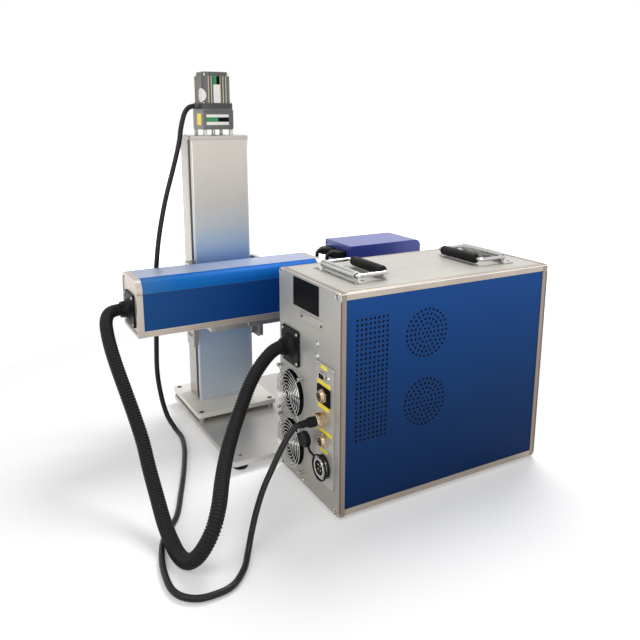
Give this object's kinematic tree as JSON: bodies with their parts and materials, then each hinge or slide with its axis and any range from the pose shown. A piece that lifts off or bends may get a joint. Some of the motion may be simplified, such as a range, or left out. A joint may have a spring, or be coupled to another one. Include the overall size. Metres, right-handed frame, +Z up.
{
  "type": "laser marking machine",
  "caption": "Split laser marking machine: a cabinet joined by hose and cable to a stand whose motor-driven column lifts an arm with a scan head over a base plate.",
  "frame": {"origin": "on the bench, below the middle of the machine's bounding box, measured without the cords", "axes": "+X from the machine's rear to its front, +Y from the cabinet to the column, +Z up"},
  "size_m": [0.7742, 0.6677, 0.743],
  "materials": {
    "frame_silver": "brushed, anodised",
    "silver_paint": "satin",
    "blue_anodised": "satin anodised",
    "bright_blue": "satin anodised",
    "violet_blue": "satin anodised",
    "silver_anodised": "satin anodised",
    "satin_cover": "brushed",
    "chrome": "polished",
    "nickel": "nickel plated",
    "spring_steel": "oiled",
    "rail_steel": "ground",
    "zinc_steel": "zinc plated",
    "black_plastic": "moulded",
    "red_plastic": "moulded",
    "green_plastic": "moulded",
    "yellow_plastic": "moulded",
    "circuit_board": "solder mask",
    "rubber": "matt",
    "black_metal": "black anodised",
    "motor_grey": "satin",
    "mirror": "coated glass",
    "hose_black": "ribbed",
    "cable_black": "jacketed"
  },
  "bodies": {
    "root": {"end_frames": "frame_silver", "corner_rails": "frame_silver", "top_cover": "silver_paint", "bottom_plate": "silver_paint", "near_side_panel": "blue_anodised", "far_side_panel": "blue_anodised", "rear_panel": "silver_paint", "front_panel": "silver_paint", "rubber_feet": "rubber", "cabinet_hose_flange": "black_plastic", "fan_housings": "black_plastic", "fan_guards": "chrome", "connector_plate": "frame_silver", "round_sockets": "nickel", "motor_plug": "black_plastic", "power_inlet": "nickel", "inlet_cap": "rubber", "laser_source": "black_metal", "power_supply": "zinc_steel", "control_board": "circuit_board", "front_collars": "nickel", "handle_bases": "chrome", "handle_springs": "spring_steel", "base_plate": "silver_anodised", "foot_plate": "silver_anodised", "standoffs": "zinc_steel", "column_body": "silver_anodised", "column_cover": "satin_cover", "column_top_plate": "silver_anodised", "guide_rails": "rail_steel", "gearbox": "silver_anodised", "motor": "motor_grey", "ribbed_hose": "hose_black", "motor_cable": "cable_black"},
    "carriage": {"carriage": "silver_anodised", "slide_blocks": "zinc_steel", "arm_base": "silver_anodised", "arm_side_panels": "blue_anodised", "arm_corner_covers": "bright_blue", "arm_top_strip": "silver_anodised", "arm_end_caps": "silver_paint", "arm_hose_flange": "black_plastic", "laser_head": "zinc_steel", "head_housing": "violet_blue", "head_connectors": "black_plastic", "scan_motors": "black_metal", "lens": "black_metal"},
    "lead_screw": {"lead_screw": "rail_steel"},
    "upper_fan": {"upper_fan_rotor": "black_plastic"},
    "lower_fan": {"lower_fan_rotor": "black_plastic"},
    "rear_handle": {"rear_bail": "chrome", "rear_grip": "rubber"},
    "front_handle": {"front_bail": "chrome", "front_grip": "rubber"},
    "stop_button": {"stop_button": "red_plastic"},
    "key": {"key": "nickel"},
    "power_button": {"power_button": "green_plastic"},
    "start_button": {"start_button": "yellow_plastic"},
    "mirror_x": {"mirror_x": "mirror"},
    "mirror_y": {"mirror_y": "mirror"}
  },
  "joints": [
    {"name": "column_lift", "type": "slide", "parent": "root", "child": "carriage", "axis": [0, 0, 1], "range_m": [-0.11, 0.24], "deforming": ["ribbed_hose"]},
    {"name": "screw_turn", "type": "hinge", "parent": "root", "child": "lead_screw", "pos_m": [-0.119, 0.22, 0.3], "axis": [0, 0, 1], "continuous": true},
    {"name": "upper_fan_turn", "type": "hinge", "parent": "root", "child": "upper_fan", "pos_m": [-0.097, -0.13, 0.167], "axis": [1, 0, 0], "continuous": true},
    {"name": "lower_fan_turn", "type": "hinge", "parent": "root", "child": "lower_fan", "pos_m": [-0.097, -0.13, 0.071], "axis": [1, 0, 0], "continuous": true},
    {"name": "rear_handle_lift", "type": "hinge", "parent": "root", "child": "rear_handle", "pos_m": [-0.05, -0.187, 0.401], "axis": [0, -1, 0], "range_deg": [0, 90], "stiffness_Nm_per_rad": 0.15, "springref_deg": -45.84},
    {"name": "front_handle_lift", "type": "hinge", "parent": "root", "child": "front_handle", "pos_m": [0.272, -0.187, 0.401], "axis": [0, 1, 0], "range_deg": [0, 90], "stiffness_Nm_per_rad": 0.15, "springref_deg": -45.84},
    {"name": "stop_push", "type": "slide", "parent": "root", "child": "stop_button", "axis": [-1, 0, 0], "range_m": [0, 0.005], "stiffness_N_per_m": 1500},
    {"name": "key_turn", "type": "hinge", "parent": "root", "child": "key", "pos_m": [0.334, -0.249, 0.278], "axis": [-1, 0, 0], "range_deg": [0, 90]},
    {"name": "power_push", "type": "slide", "parent": "root", "child": "power_button", "axis": [-1, 0, 0], "range_m": [0, 0.003], "stiffness_N_per_m": 600},
    {"name": "start_push", "type": "slide", "parent": "root", "child": "start_button", "axis": [-1, 0, 0], "range_m": [0, 0.003], "stiffness_N_per_m": 600},
    {"name": "mirror_x_turn", "type": "hinge", "parent": "carriage", "child": "mirror_x", "pos_m": [0.244, 0.081, 0.3202], "axis": [0, 0, 1], "range_deg": [-12, 12]},
    {"name": "mirror_y_turn", "type": "hinge", "parent": "carriage", "child": "mirror_y", "pos_m": [0.244, 0.105, 0.3202], "axis": [1, 0, 0], "range_deg": [-12, 12]}
  ],
  "couplings": [
    {"joint": "screw_turn", "follows": "column_lift", "rad_per_m": 628.32}
  ]
}
